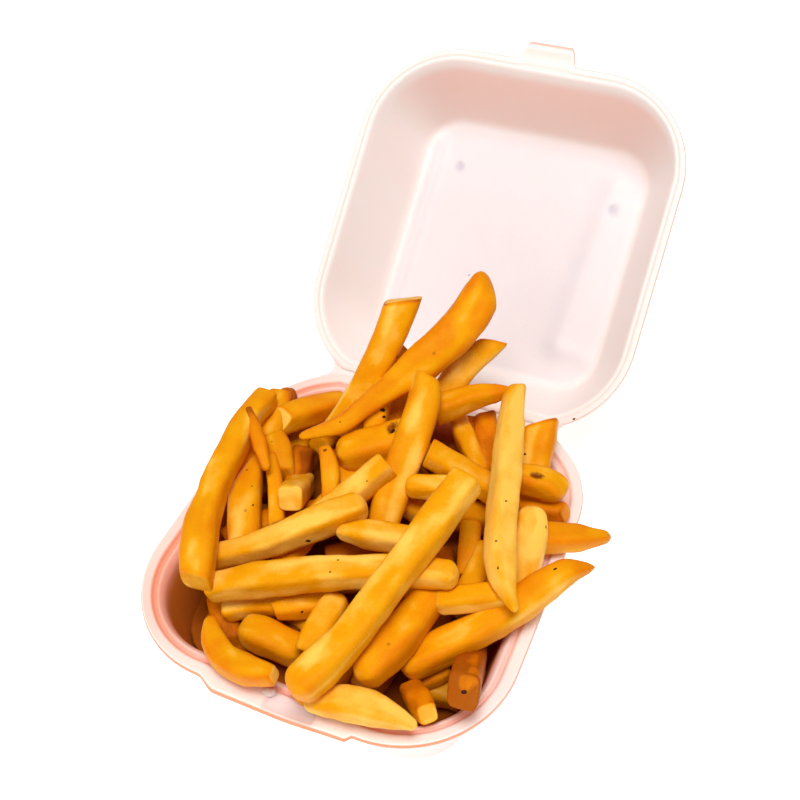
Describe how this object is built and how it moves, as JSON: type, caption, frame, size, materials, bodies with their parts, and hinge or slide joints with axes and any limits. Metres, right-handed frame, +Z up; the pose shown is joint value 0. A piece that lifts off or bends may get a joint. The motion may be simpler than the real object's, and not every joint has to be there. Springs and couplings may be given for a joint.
{
  "type": "french fries in a takeaway box",
  "caption": "Thick-cut french fries heaped in an open foam clamshell box with a hinged lid, a lid tab and a front latch lip.",
  "frame": {"origin": "middle of the base's flat underside, on the surface that the box stands on", "axes": "+Z up; +X along the hinge; +Y from the front latch towards the lid"},
  "size_m": [0.1523, 0.2752, 0.1419],
  "materials": {
    "foam": "pinkish white foam with a soft sheen",
    "fried_potato": "golden crust with a thin film of oil"
  },
  "bodies": {
    "base": {"base": "foam", "hinge": "foam", "fries": "fried_potato"},
    "lid": {"lid": "foam"}
  },
  "joints": [
    {"name": "lid_hinge", "type": "hinge", "parent": "base", "child": "lid", "pos_m": [0, 0.073, 0.043], "axis": [1, 0, 0], "range_deg": [-39, 75]}
  ]
}
